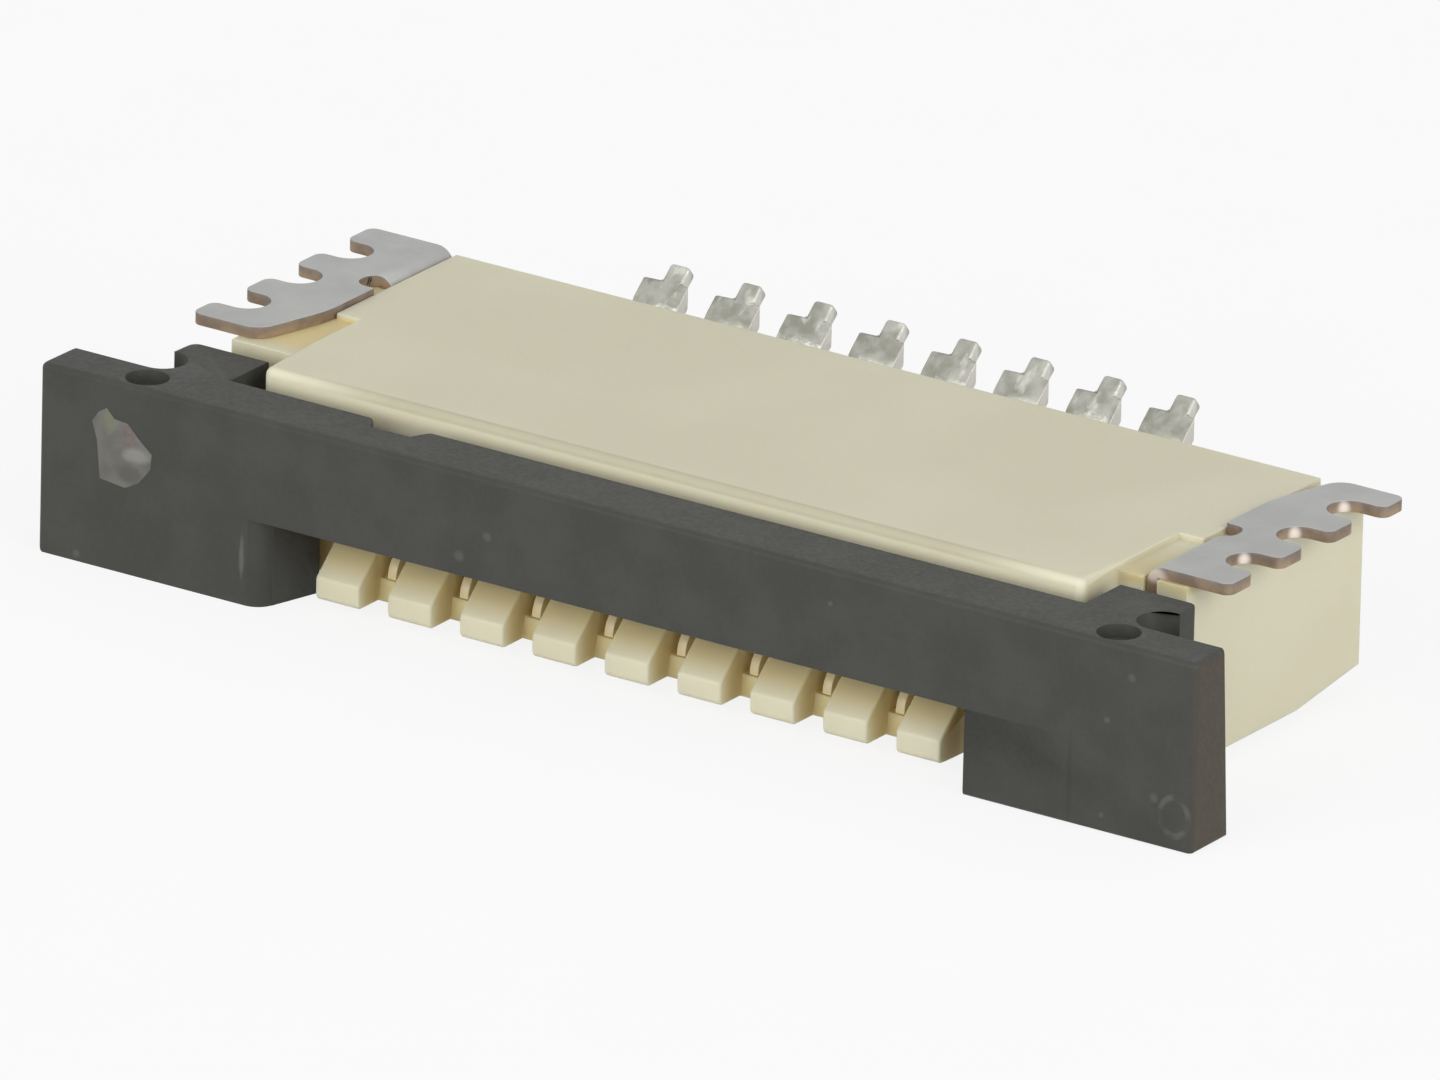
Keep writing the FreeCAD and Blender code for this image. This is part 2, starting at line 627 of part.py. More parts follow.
def contact_path():
    """The middle line of a contact in the YZ plane, from its nose to the end of its tail."""
    half = size["strip"].number / 2
    slope = math.radians(size["tail_angle"].number)
    nose = (size["rib_setback"] + size["nose_setback"]).number
    crest = (at.rib_top + size["preload"]).number - half
    bridge = crest - size["nose_drop"].number
    root = at.channel_floor.number + half
    tail_y = at.tail_end.number - half * math.sin(slope)
    tail_z = (at.board_face + size["tail_proud"]).number - half * math.cos(slope)
    head_y = (at.rear + size["riser_head"]).number
    head_z = tail_z - (tail_y - head_y) * math.tan(slope)
    return [
        (nose, bridge - size["nose_hook"].number),
        (nose, bridge),
        ((size["rib_setback"] + size["crest_setback"]).number, crest),
        ((at.mouth_end + size["root_inset"]).number, root),
        ((at.rear + size["riser_foot"]).number, root),
        (head_y, head_z),
        (tail_y, tail_z),
    ]


def round_bends(body, strip, outline):
    """Round each bend of the strip: small on its inside, larger by the strip thickness outside."""
    last = len(outline) - 1
    radii = (size["bend_radius"], size["bend_radius"] + size["strip"])
    for hollow, radius, name in ((True, radii[0], "inside_bends"), (False, radii[1], "outside_bends")):
        spots = []
        for number, spot in enumerate(outline):
            before, after = outline[number - 1], outline[(number + 1) % len(outline)]
            into, out = unit(before, spot), unit(spot, after)
            turn = into[0] * out[1] - into[1] * out[0]
            end = number in (0, last, last // 2, last // 2 + 1)
            if not end and (turn < 0) == hollow:
                spots.append(spot)

        def chosen(edge):
            box = edge.BoundBox
            return along_x(edge) and any(near(box.YMin, y) and near(box.ZMin, z) for y, z in spots)
        strip = round_edges(body, strip, chosen, radius, name)
    return strip


def make_contact(document, number):
    """A stamped and formed contact: nose, spring beam, root in the rear wall, riser, solder tail."""
    body = new_body(document, f"contact_{number}")
    sketch = new_sketch(body, "YZ_Plane", "strip_section")
    outline = strip_outline(contact_path(), size["strip"].number)
    add_polygon(sketch, outline)
    strip = grow(body, "Pad", sketch, "strip", size["tail_width"], both_ways=True)

    strip = round_bends(body, strip, outline)

    wide = size["tail_width"]
    nose = size["rib_setback"] + size["nose_setback"]
    neck = at.rear + size["tail_neck"]
    shoulder = at.tail_end - size["nib_length"]
    sketch = new_sketch(body, "XY_Plane", "side_plan")
    add_polygon(sketch, [(size["nose_width"] / 2, nose - wide),
                         (size["nose_width"] / 2, nose + size["strip"]),
                         (size["beam_width"] / 2, size["rib_setback"] + size["crest_setback"]),
                         (size["root_width"] / 2, at.mouth_end),
                         (size["root_width"] / 2, neck), (wide, neck), (wide, nose - wide)])
    front = grow(body, "Pocket", sketch, "front_side", at.board_face * 4, both_ways=True)
    mirror(body, [front], "both_sides")
    sketch = new_sketch(body, "XY_Plane", "nib_plan")
    left = size["nib_shift"] - size["nib_width"] / 2
    right = size["nib_shift"] + size["nib_width"] / 2
    add_polygon(sketch, rectangle(-wide, shoulder, left, at.tail_end + wide), "left")
    add_polygon(sketch, rectangle(right, shoulder, wide, at.tail_end + wide), "right")
    grow(body, "Pocket", sketch, "nib_sides", at.board_face * 4, both_ways=True)
    across = at.first_contact + size["pitch"] * (number - 1)
    place(body, across)
    return body


def check(document, bodies):
    """Stop before anything is written if a feature failed or a sub-part has no sound solid."""
    for item in document.Objects:
        if "Invalid" in item.State or "Error" in item.State:
            raise RuntimeError(f"{item.Name} in {item.Label}: {item.State}")
    for body in bodies:
        shape = body.Shape
        if shape.isNull() or not shape.isValid() or len(shape.Solids) != 1:
            raise RuntimeError(f"{body.Label}: no single sound solid")


document = FreeCAD.newDocument("film_connector")
size = make_sheet(document)
at = Derived(size)
parts = [make_housing(document), make_slider(document)]
parts.append(make_nail(document, "fitting_nail_left", -1))
parts.append(make_nail(document, "fitting_nail_right", 1))
for circuit in range(1, int(size["circuits"].number) + 1):
    parts.append(make_contact(document, circuit))
document.recompute()
check(document, parts)

os.makedirs("parts", exist_ok=True)
for part in parts:
    part.Shape.exportStep(f"parts/{part.Label}.step")
    box = part.Shape.BoundBox
    print(f"{part.Label}: {part.Shape.Volume:.4f} mm3, x {box.XMin:.3f} to {box.XMax:.3f}, "
          f"y {box.YMin:.3f} to {box.YMax:.3f}, z {box.ZMin:.3f} to {box.ZMax:.3f}")
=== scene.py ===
import math

import bmesh
import bpy
from mathutils import Matrix, Vector
from mathutils.geometry import delaunay_2d_cdt


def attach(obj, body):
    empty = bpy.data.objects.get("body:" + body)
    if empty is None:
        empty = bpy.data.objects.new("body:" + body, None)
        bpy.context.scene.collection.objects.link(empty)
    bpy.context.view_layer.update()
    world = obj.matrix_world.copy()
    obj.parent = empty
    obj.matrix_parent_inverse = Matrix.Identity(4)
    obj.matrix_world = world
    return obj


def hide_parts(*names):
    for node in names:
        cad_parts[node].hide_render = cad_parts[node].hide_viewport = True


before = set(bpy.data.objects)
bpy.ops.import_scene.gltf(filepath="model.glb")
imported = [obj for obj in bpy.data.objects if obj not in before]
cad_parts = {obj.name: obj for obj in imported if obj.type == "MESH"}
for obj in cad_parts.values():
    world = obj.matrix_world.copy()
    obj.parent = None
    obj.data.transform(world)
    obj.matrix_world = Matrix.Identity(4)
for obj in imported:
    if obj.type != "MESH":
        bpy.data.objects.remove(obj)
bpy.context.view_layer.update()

# Sizes and places are in millimetres, and MM turns them into the frame's metres. X runs along the
# contact row, Y from the film mouth towards the solder tails, and Z towards the circuit board.
MM = 0.001


def node_box(name):
    """The lowest and the highest corner of a CAD node, in millimetres."""
    places = [vert.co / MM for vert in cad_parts[name].data.vertices]
    low = [round(min(place[axis] for place in places), 3) for axis in range(3)]
    high = [round(max(place[axis] for place in places), 3) for axis in range(3)]
    return low, high


# The slider: its front face, right end, top, the rear of its bar and arms, and its key notch.
slider_low, slider_high = node_box("slider")
FACE = slider_low[1]
SLIDER_END = slider_high[0]
BAR_TOP = slider_high[2]
BAR_REAR = FACE + 0.86
ARM_REAR = FACE + 1.61
ARM_INNER = 5.87
KEY_NOTCH = (-3.9, -3.1)

# The housing: the fronts of its ribs and of its board block, the block's right side, the film
# mouth's right side, and the face towards the board.
housing_low, housing_high = node_box("housing")
RIB_FRONT = housing_low[1]
BLOCK_FRONT = FACE + 1.15
BLOCK_SIDE = 5.65
MOUTH_SIDE = 4.6
BOARD_FACE = housing_high[2]

# The fitting nails: their middle along Y, the soldered face and the face on the housing.
nail_low, nail_high = node_box("fitting_nail_right")
NAIL_MIDDLE = round((nail_low[1] + nail_high[1]) / 2, 3)
NAIL_FACE = nail_high[2]
NAIL_SHEET = 0.15
NAIL_SEAT = NAIL_FACE - NAIL_SHEET


def srgb(red, green, blue):
    """An 8-bit display colour as linear values for a shader socket."""
    def linear(value):
        value /= 255
        return value / 12.92 if value <= 0.04045 else ((value + 0.055) / 1.055) ** 2.4
    return linear(red), linear(green), linear(blue), 1.0


class Nodes:
    """A small helper that adds and links shader nodes."""

    def __init__(self, name):
        self.material = bpy.data.materials.new(name)
        self.material.use_nodes = True
        self.tree = self.material.node_tree
        self.tree.nodes.clear()
        self.output = self.add("ShaderNodeOutputMaterial")
        self.coordinates = self.add("ShaderNodeTexCoord")

    def add(self, kind, **settings):
        node = self.tree.nodes.new(kind)
        for key, value in settings.items():
            setattr(node, key, value)
        return node

    def feed(self, socket, value):
        """Link another node's output to a socket, or type a plain value into it."""
        if isinstance(value, bpy.types.NodeSocket):
            self.tree.links.new(value, socket)
        else:
            socket.default_value = value

    def math(self, operation, first, second=0.0):
        node = self.add("ShaderNodeMath", operation=operation)
        self.feed(node.inputs[0], first)
        self.feed(node.inputs[1], second)
        return node.outputs[0]

    def noise(self, size_mm, detail=3.0, roughness=0.5, stretch=(1, 1, 1), shift=(0, 0, 0)):
        """Noise with features about this many millimetres across."""
        mapping = self.add("ShaderNodeMapping")
        mapping.inputs["Scale"].default_value = stretch
        mapping.inputs["Location"].default_value = shift
        self.feed(mapping.inputs["Vector"], self.coordinates.outputs["Object"])
        node = self.add("ShaderNodeTexNoise")
        self.feed(node.inputs["Vector"], mapping.outputs[0])
        node.inputs["Scale"].default_value = 1000 / size_mm
        node.inputs["Detail"].default_value = detail
        node.inputs["Roughness"].default_value = roughness
        return node.outputs["Fac"]

    def ramp(self, value, low, high, to_low=0.0, to_high=1.0):
        """A smooth climb from to_low to to_high while the value goes from low to high."""
        node = self.add("ShaderNodeMapRange", interpolation_type="SMOOTHSTEP")
        self.feed(node.inputs["Value"], value)
        node.inputs["From Min"].default_value = low
        node.inputs["From Max"].default_value = high
        node.inputs["To Min"].default_value = to_low
        node.inputs["To Max"].default_value = to_high
        return node.outputs["Result"]

    def mix(self, factor, first, second):
        node = self.add("ShaderNodeMix", data_type="RGBA")
        self.feed(node.inputs["Factor"], factor)
        self.feed(node.inputs["A"], first)
        self.feed(node.inputs["B"], second)
        return node.outputs["Result"]

    def axis(self, name, source="Object"):
        node = self.add("ShaderNodeSeparateXYZ")
        self.feed(node.inputs[0], self.coordinates.outputs[source])
        return node.outputs[name]

    def between(self, axis, start_mm, full_mm):
        """Rises from 0 to 1 between two places along an axis, given in millimetres."""
        return self.ramp(self.axis(axis), start_mm * MM, full_mm * MM)

    def distance(self, middle, radii):
        """Distance from a place in millimetres, where 1 is the surface of an ellipsoid."""
        mapping = self.add("ShaderNodeMapping")
        mapping.inputs["Scale"].default_value = [1000 / r for r in radii]
        mapping.inputs["Location"].default_value = [-m / r for m, r in zip(middle, radii)]
        self.feed(mapping.inputs["Vector"], self.coordinates.outputs["Object"])
        length = self.add("ShaderNodeVectorMath", operation="LENGTH")
        self.feed(length.inputs[0], mapping.outputs[0])
        return length.outputs["Value"]

    def spot(self, middle, radii, soft=0.3, ragged=0.0, grain_mm=0.15):
        """1 inside an ellipsoid and 0 outside, with a soft and ragged edge."""
        length = self.distance(middle, radii)
        if ragged:
            shake = self.math("SUBTRACT", self.noise(grain_mm, 3), 0.5)
            length = self.math("ADD", length, self.math("MULTIPLY", shake, ragged))
        return self.ramp(length, 1 - soft, 1 + soft, 1.0, 0.0)

    def both(self, first, second):
        """The overlap of two places."""
        return self.math("MULTIPLY", first, second)

    def tint(self, color, place, share, tone):
        """Lay a display colour over another one: this share of it where the place is 1."""
        return self.mix(self.math("MULTIPLY", place, share), color, srgb(*tone))

    def bump(self, height, depth_mm, normal=None):
        node = self.add("ShaderNodeBump")
        self.feed(node.inputs["Height"], height)
        node.inputs["Strength"].default_value = 1.0
        node.inputs["Distance"].default_value = depth_mm * MM
        if normal is not None:
            self.feed(node.inputs["Normal"], normal)
        return node.outputs["Normal"]

    def surface(self, color, roughness, normal=None, metallic=0.0, **sockets):
        shader = self.add("ShaderNodeBsdfPrincipled")
        self.feed(shader.inputs["Base Color"], color)
        self.feed(shader.inputs["Roughness"], roughness)
        self.feed(shader.inputs["Metallic"], metallic)
        if normal is not None:
            self.feed(shader.inputs["Normal"], normal)
        for key, value in sockets.items():
            self.feed(shader.inputs[key.replace("_", " ")], value)
        self.feed(self.output.inputs["Surface"], shader.outputs[0])
        return self.material


def housing_material():
    """Cream moulded resin, a little translucent. Its slots and deep corners are painted with warm shade
    and light, and the board block's front lip with painted light and shade.
    """
    n = Nodes("cream_resin")
    clouds = n.ramp(n.noise(3.0, 2), 0.35, 0.65)
    color = n.mix(clouds, srgb(217, 211, 184), srgb(221, 216, 190))
    specks = n.ramp(n.noise(0.12, 2, shift=(5, 2, 1)), 0.68, 0.82, 0.0, 0.15)
    color = n.mix(specks, color, srgb(206, 198, 168))

    across = n.math("ABSOLUTE", n.axis("X"))
    in_mouth = n.ramp(across, (MOUTH_SIDE + 0.3) * MM, (MOUTH_SIDE + 0.15) * MM)
    comb = n.both(n.both(n.between("Z", 1.0, 0.85), in_mouth), n.between("Y", 1.0, 0.0))
    # Painted warm shade on the ribs' sides, and painted warm light at the slot ends, in the film mouth.
    rib_side_shade = n.both(comb, n.between("Y", RIB_FRONT, RIB_FRONT + 0.25))
    slot_end_light = n.both(comb, n.between("Y", RIB_FRONT + 0.33, RIB_FRONT + 0.5))
    color = n.tint(color, rib_side_shade, 1.0, (214, 198, 150))
    color = n.tint(color, slot_end_light, 1.0, (244, 226, 172))

    shelf = n.both(n.between("Z", BOARD_FACE - 0.24, BOARD_FACE - 0.14),
                   n.between("Z", BOARD_FACE - 0.02, BOARD_FACE - 0.06))
    # Painted warm shade on the ledge under the left nail.
    left_ledge_shade = n.both(n.both(shelf, n.between("X", -5.2, -5.4)), n.between("Y", -1.42, -1.05))
    color = n.tint(color, left_ledge_shade, 0.75, (228, 204, 140))
    # Painted light on the board block's front lip face.
    lip_face_light = n.both(n.between("Y", BLOCK_FRONT + 0.11, BLOCK_FRONT + 0.02),
                      n.between("Z", BOARD_FACE - 0.29, BOARD_FACE - 0.14))
    color = n.tint(color, lip_face_light, 0.85, (240, 235, 208))
    # Painted shade on the lip's rounding, toning down its highlight.
    lip_round_shade = n.both(n.between("Y", BLOCK_FRONT + 0.15, BLOCK_FRONT + 0.09),
                       n.between("Z", BOARD_FACE - 0.11, BOARD_FACE - 0.07))
    lip_round_shade = n.both(lip_round_shade, n.ramp(across, 5.6 * MM, 3.8 * MM))
    color = n.tint(color, lip_round_shade, 0.85, (189, 183, 159))
    # Painted warm shade in the recess beside the right nail.
    right_recess_shade = n.both(n.both(shelf, n.between("X", 5.6, 5.75)), n.between("Y", 0.0, -1.3))
    color = n.tint(color, right_recess_shade, 0.8, (206, 190, 142))

    grain = n.noise(0.05, 3, 0.6)
    roughness = n.ramp(grain, 0.3, 0.7, 0.46, 0.6)
    normal = n.bump(grain, 0.0012, n.bump(n.noise(0.5, 2), 0.005))
    return n.surface(color, roughness, normal, Specular_IOR_Level=0.4, Subsurface_Weight=0.5,
                     Subsurface_Radius=(1.0, 0.78, 0.4), Subsurface_Scale=0.4 * MM)


# Pale specks on the slider's front face: place along X, place along Z, radius.
SPECKS = ((7.085, 1.959, 0.045), (6.766, 1.376, 0.035), (7.428, 0.588, 0.05), (6.723, 0.215, 0.03),
          (-1.717, 1.614, 0.05), (-2.095, 1.294, 0.06), (-7.4, 0.09, 0.045), (2.99, 1.9, 0.03))


def slider_material():
    """Charcoal moulded resin: matt skin with a scratch, a worn ring and specks, a painted shade line
    near the front panel's edge, and painted warm light on the right end.
    """
    n = Nodes("charcoal_resin")
    color = n.mix(n.ramp(n.noise(0.7, 3, 0.5), 0.35, 0.68), srgb(60, 60, 56), srgb(66, 66, 62))
    # Painted warm light on the slider's right-facing end faces.
    right_end_warm_light = n.both(n.ramp(n.axis("X", "Normal"), 0.5, 0.9), n.between("X", 7.1, 7.6))
    color = n.tint(color, right_end_warm_light, 0.7, (76, 66, 55))

    scratch = n.spot((-5.1, FACE, 0.58), (0.03, 0.2, 0.24), 0.5, ragged=0.8, grain_mm=0.12)
    color = n.tint(color, scratch, 0.35, (124, 124, 118))
    from_ring = n.math("SUBTRACT", n.distance((7.7, FACE, 0.42), (0.19, 0.3, 0.23)), 1.0)
    ring = n.ramp(n.math("ABSOLUTE", from_ring), 0.08, 0.24, 1.0, 0.0)
    worn = n.ramp(n.noise(0.3, 2), 0.42, 0.6, 0.05, 0.4)
    color = n.mix(n.both(ring, worn), color, srgb(108, 107, 102))
    for x, z, radius in SPECKS:
        speck = n.spot((x, FACE, z), (radius, 0.1, radius), 0.6)
        color = n.tint(color, speck, 0.22, (122, 122, 116))
    # A painted shade line near the front panel's edge, which square_up takes off the face.
    panel_edge_shade = n.spot((6.28, FACE, 0.5), (0.035, 0.1, 0.56), 0.5)
    color = n.tint(color, panel_edge_shade, 0.35, (48, 48, 44))

    grain = n.noise(0.06, 3, 0.6)
    roughness = n.ramp(grain, 0.3, 0.7, 0.52, 0.64)
    normal = n.bump(grain, 0.002, n.bump(n.noise(0.4, 3), 0.004))
    return n.surface(color, roughness, normal, Specular_IOR_Level=0.3)


# Tones on the torn gate mark, and a painted highlight along its lower edge: middle, radii, share, tone.
SCAR_TONES_AND_HIGHLIGHT = (
    ((-6.95, FACE, 1.86), (0.1, 0.3, 0.15), 0.7, (108, 112, 88)),
    ((-6.68, FACE, 1.72), (0.1, 0.3, 0.13), 0.7, (96, 80, 75)),
    ((-7.11, FACE, 1.5), (0.06, 0.3, 0.3), 0.5, (108, 107, 98)),
    ((-6.68, FACE, 1.27), (0.14, 0.3, 0.1), 0.8, (80, 79, 75)),
    # painted highlight along the gate mark's lower edge
    ((-6.84, FACE, 1.09), (0.2, 0.3, 0.05), 0.6, (110, 109, 103)),
    ((-6.56, FACE, 1.49), (0.16, 0.3, 0.08), 0.9, (128, 126, 119)),
)


def scar_material():
    """Where the gate was broken off the slider: pale, torn resin, with a painted highlight along its
    lower edge.
    """
    n = Nodes("torn_resin")
    color = n.mix(n.ramp(n.noise(0.2, 3, 0.5), 0.35, 0.65), srgb(90, 89, 84), srgb(102, 100, 94))
    for middle, radii, share, tone in SCAR_TONES_AND_HIGHLIGHT:
        mark = n.spot(middle, radii, 0.45, ragged=0.7, grain_mm=0.16)
        color = n.tint(color, mark, share, tone)
    roughness = n.ramp(n.noise(0.1, 2), 0.3, 0.7, 0.4, 0.6)
    return n.surface(color, roughness, n.bump(n.noise(0.08, 3, 0.6), 0.01))


# Bright spots on the right nail's cut edge: middle, radii, share.
GLINTS = (
    ((6.66, -0.375, 2.41), (0.075, 0.075, 0.085), 0.95),
    ((6.66, 0.672, 2.41), (0.075, 0.075, 0.085), 0.95),
    ((6.65, 1.71, 2.41), (0.075, 0.075, 0.085), 0.95),
    ((6.12, -1.4, 2.4), (0.13, 0.15, 0.09), 0.6),
)


def nail_material():
    """Smooth dull tin plate, with copper-brown metal showing where the sheet was cut; the cut's lower
    half carries a painted reflection of the cream housing.
    """
    n = Nodes("nail_plate")
    color = n.mix(n.ramp(n.noise(0.7, 3), 0.3, 0.7), srgb(166, 167, 165), srgb(175, 176, 174))
    roughness = n.ramp(n.noise(0.2, 3), 0.3, 0.7, 0.48, 0.56)
    edge = n.ramp(n.math("ABSOLUTE", n.axis("Z", "Normal")), 0.3, 0.7, 1.0, 0.0)
    patch = n.ramp(n.noise(0.25, 3), 0.35, 0.65)
    sheared = n.mix(patch, srgb(116, 103, 93), srgb(136, 121, 108))
    # Painted reflection: the lower half of the cut edge is lighter and warmer, as the cream housing
    # shows in it.
    torn = n.mix(patch, srgb(136, 114, 92), srgb(170, 145, 114))
    color = n.mix(edge, color, n.mix(n.between("Z", NAIL_FACE - 0.02, NAIL_SEAT), sheared, torn))
    for middle, radii, share in GLINTS:
        glint = n.both(n.spot(middle, radii, 0.55), edge)
        color = n.tint(color, glint, share, (252, 240, 228))
    normal = n.bump(n.noise(0.12, 3, 0.5), 0.0015, n.bump(n.noise(0.6, 2), 0.006))
    return n.surface(color, roughness, normal, metallic=n.ramp(edge, 0.0, 1.0, 0.7, 0.15))


def contact_material(name, shift, wrinkle_mm):
    """Warm grey tin plate, wrinkled on the tail, with painted glints on the wrinkles and painted light
    on its right-facing faces. Inside the housing it is painted warm cream, a painted reflection of the
    housing, and dull.
    """
    n = Nodes(name)
    tail = n.between("Z", 1.55, 1.95)
    cloud = n.ramp(n.noise(0.3, 3, 0.55, shift=shift), 0.35, 0.65)
    color = n.mix(cloud, srgb(150, 150, 138), srgb(182, 182, 173))
    # Painted glints: bright patches on the tail's wrinkles.
    wrinkle_glint = n.ramp(n.noise(0.2, 3, 0.55, stretch=(1, 0.5, 0.5), shift=shift), 0.56, 0.72, 0.0, 0.7)
    color = n.mix(wrinkle_glint, color, srgb(226, 225, 216))
    haze = n.ramp(n.noise(0.8, 2, shift=shift), 0.35, 0.65)
    riser = n.mix(haze, srgb(166, 166, 156), srgb(174, 174, 165))
    color = n.mix(tail, riser, color)
    # Painted light: faces turned to the right are lighter.
    right_side_light = n.ramp(n.axis("X", "Normal"), 0.4, 0.8)
    color = n.tint(color, right_side_light, 0.8, (214, 211, 203))
    cut_end = n.between("Y", 3.12, 3.24)
    color = n.tint(color, cut_end, 0.6, (120, 121, 110))
    # Painted reflection: inside the housing the plate is coloured warm cream, as the cream housing
    # shows in it.
    spring = n.between("Y", 1.0, -1.0)
    color = n.mix(spring, color, srgb(222, 205, 160))
    roughness = n.ramp(n.noise(0.1, 3, shift=shift), 0.3, 0.7, 0.3, 0.46)
    wrinkle = n.both(n.noise(0.22, 3, 0.55, shift=shift), n.ramp(tail, 0.0, 1.0, 0.2, 1.0))
    metallic = n.ramp(spring, 0.0, 1.0, 0.65, 0.0)
    return n.surface(color, roughness, n.bump(wrinkle, wrinkle_mm), metallic=metallic)


# Edges bent more than SHARP are rounded, and faces bent less than FLAT are joined.
SHARP = math.radians(30)
FLAT = math.radians(1)
SAME_PLACE = 0.0001


def join_flats(form):
    """Join doubled points, then the triangles of each flat face."""
    bmesh.ops.remove_doubles(form, verts=form.verts, dist=SAME_PLACE * MM)
    bmesh.ops.dissolve_limit(form, angle_limit=FLAT, verts=form.verts, edges=form.edges)


def flat_copy(node):
    """The node's own mesh with its flat faces joined up, ready for rounding."""
    form = bmesh.new()
    form.from_mesh(node.data)
    join_flats(form)
    return form


def round_edges(form, width_mm, segments, wanted, clamp=True):
    """Round the sharp edges whose two ends, in millimetres, are both wanted.

    With clamp, Blender narrows a rounding that would run into the next edge.
    """
    edges = []
    for edge in form.edges:
        if len(edge.link_faces) != 2 or edge.calc_face_angle() < SHARP:
            continue
        if all(wanted(*(vert.co / MM)) for vert in edge.verts):
            edges.append(edge)
    if edges:
        bmesh.ops.bevel(form, geom=edges, offset=width_mm * MM, offset_type="OFFSET", segments=segments,
                        profile=0.5, affect="EDGES", clamp_overlap=clamp, loop_slide=True,
                        harden_normals=False)


def make_piece(name, form, materials, node, body):
    """Turn a rounded form into a piece that stands for a CAD node."""
    for face in form.faces:
        face.smooth = face.material_index == 0
    mesh = bpy.data.meshes.new(name)
    form.to_mesh(mesh)
    form.free()
    for material in materials:
        mesh.materials.append(material)
    piece = bpy.data.objects.new(name, mesh)
    bpy.context.scene.collection.objects.link(piece)
    shade = piece.modifiers.new("shade", "WEIGHTED_NORMAL")
    shade.keep_sharp = False
    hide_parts(node)
    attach(piece, body)


def anywhere(x, y, z):
    return True


def on_block_lip(x, y, z):
    """The board block's top front edge."""
    return z > BOARD_FACE - 0.01 and y < BLOCK_FRONT + 0.13 and abs(x) < BLOCK_SIDE + 0.01


def on_ribs(x, y, z):
    """The ribs' fronts and ramps, ahead of the board block."""
    return z < 1.3 and y < BLOCK_FRONT - 0.16 and abs(x) < MOUTH_SIDE + 0.3


def on_board_side(x, y, z):
    """The housing's upper part, towards the board."""
    return z > 1.9


def make_housing():
    form = flat_copy(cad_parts["housing"])
    round_edges(form, 0.1, 4, on_block_lip)
    round_edges(form, 0.07, 3, on_ribs)
    round_edges(form, 0.05, 2, on_board_side)
    round_edges(form, 0.03, 2, anywhere)
    make_piece("housing_moulding", form, [housing_material()], "housing", "housing")


# The torn gate mark on the slider's front face: x and z of its rim, then x, z and how far out
# each of its peaks stands.
SCAR_RIM = ((-7.21, 1.77), (-7.12, 1.9), (-7.01, 1.97), (-6.9, 1.86), (-6.71, 1.84), (-6.55, 1.68),
            (-6.37, 1.54), (-6.39, 1.35), (-6.55, 1.15), (-6.74, 1.05), (-7.09, 1.09), (-7.14, 1.55))
SCAR_PEAKS = ((-7.08, 1.72, 0.012), (-6.96, 1.56, 0.07), (-6.88, 1.78, 0.012), (-6.74, 1.64, 0.05),
              (-6.72, 1.42, 0.085), (-6.5, 1.44, 0.04), (-6.95, 1.3, 0.015), (-6.74, 1.2, 0.06),
              (-7.06, 1.2, 0.012))
SCAR_RIM_OUT = 0.002


def add_scar(form):
    """A shallow torn patch of facets on the left block's front face."""
    points = [(x, z, SCAR_RIM_OUT) for x, z in SCAR_RIM] + list(SCAR_PEAKS)
    flat = [Vector((x, z)) for x, z, out in points]
    facets = delaunay_2d_cdt(flat, [], [list(range(len(SCAR_RIM)))], 1, 1e-6)[2]
    verts = [form.verts.new((x * MM, (FACE - out) * MM, z * MM)) for x, z, out in points]
    for facet in facets:
        form.faces.new([verts[index] for index in facet]).material_index = 1


def square_up(form):
    """Take the tiny CAD rounds off the front corners and the faint panels off the front face."""
    for vert in form.verts:
        x, y, z = vert.co / MM
        in_round = abs(x) > SLIDER_END - 0.05 and y < FACE + 0.05
        in_panel = abs(x) < 6.4 and y < FACE + 0.03
        if in_round:
            vert.co.x = math.copysign(SLIDER_END, x) * MM
        if in_round or in_panel:
            vert.co.y = FACE * MM
    join_flats(form)


# The round on the left block's front corner beside the film mouth, and the degrees of its arc.
CORNER_RADIUS = 0.25
CORNER_X = -5.04
CORNER_TURN = 74
CORNER_STEPS = 8
CORNER_TOP = 1.056
CUTTER_MARGIN = 0.2


def corner_cutter():
    """Rounds the left block's front corner beside the film mouth, from below the slider to the bar."""
    middle_y = FACE + CORNER_RADIUS
    corners = [(-MOUTH_SIDE, FACE - CUTTER_MARGIN), (CORNER_X, FACE - CUTTER_MARGIN)]
    for step in range(CORNER_STEPS + 1):
        turn = math.radians(-90 + CORNER_TURN * step / CORNER_STEPS)
        corners.append((CORNER_X + CORNER_RADIUS * math.cos(turn),
                        middle_y + CORNER_RADIUS * math.sin(turn)))
    corners.append((-MOUTH_SIDE, corners[-1][1]))
    cutter = bmesh.new()
    low = [cutter.verts.new((x * MM, y * MM, -CUTTER_MARGIN * MM)) for x, y in corners]
    high = [cutter.verts.new((x * MM, y * MM, CORNER_TOP * MM)) for x, y in corners]
    cutter.faces.new(low)
    cutter.faces.new(high)
    for index in range(len(corners)):
        after = (index + 1) % len(corners)
        cutter.faces.new((low[index], low[after], high[after], high[index]))
    bmesh.ops.recalc_face_normals(cutter, faces=cutter.faces)
    return cutter


def cut(form, cutter):
    """The form with the cutter taken out of it."""
    items = []
    for part in (form, cutter):
        mesh = bpy.data.meshes.new("cutting")
        part.to_mesh(mesh)
        part.free()
        item = bpy.data.objects.new("cutting", mesh)
        bpy.context.scene.collection.objects.link(item)
        items.append(item)
    tool = items[0].modifiers.new("cut", "BOOLEAN")
    tool.object = items[1]
    tool.operation = "DIFFERENCE"
    tool.solver = "EXACT"
    result = bmesh.new()
    result.from_object(items[0], bpy.context.evaluated_depsgraph_get())
    for item in items:
        bpy.data.objects.remove(item)
    return result


def on_top(x, y, z):
    return z > BAR_TOP - 0.01


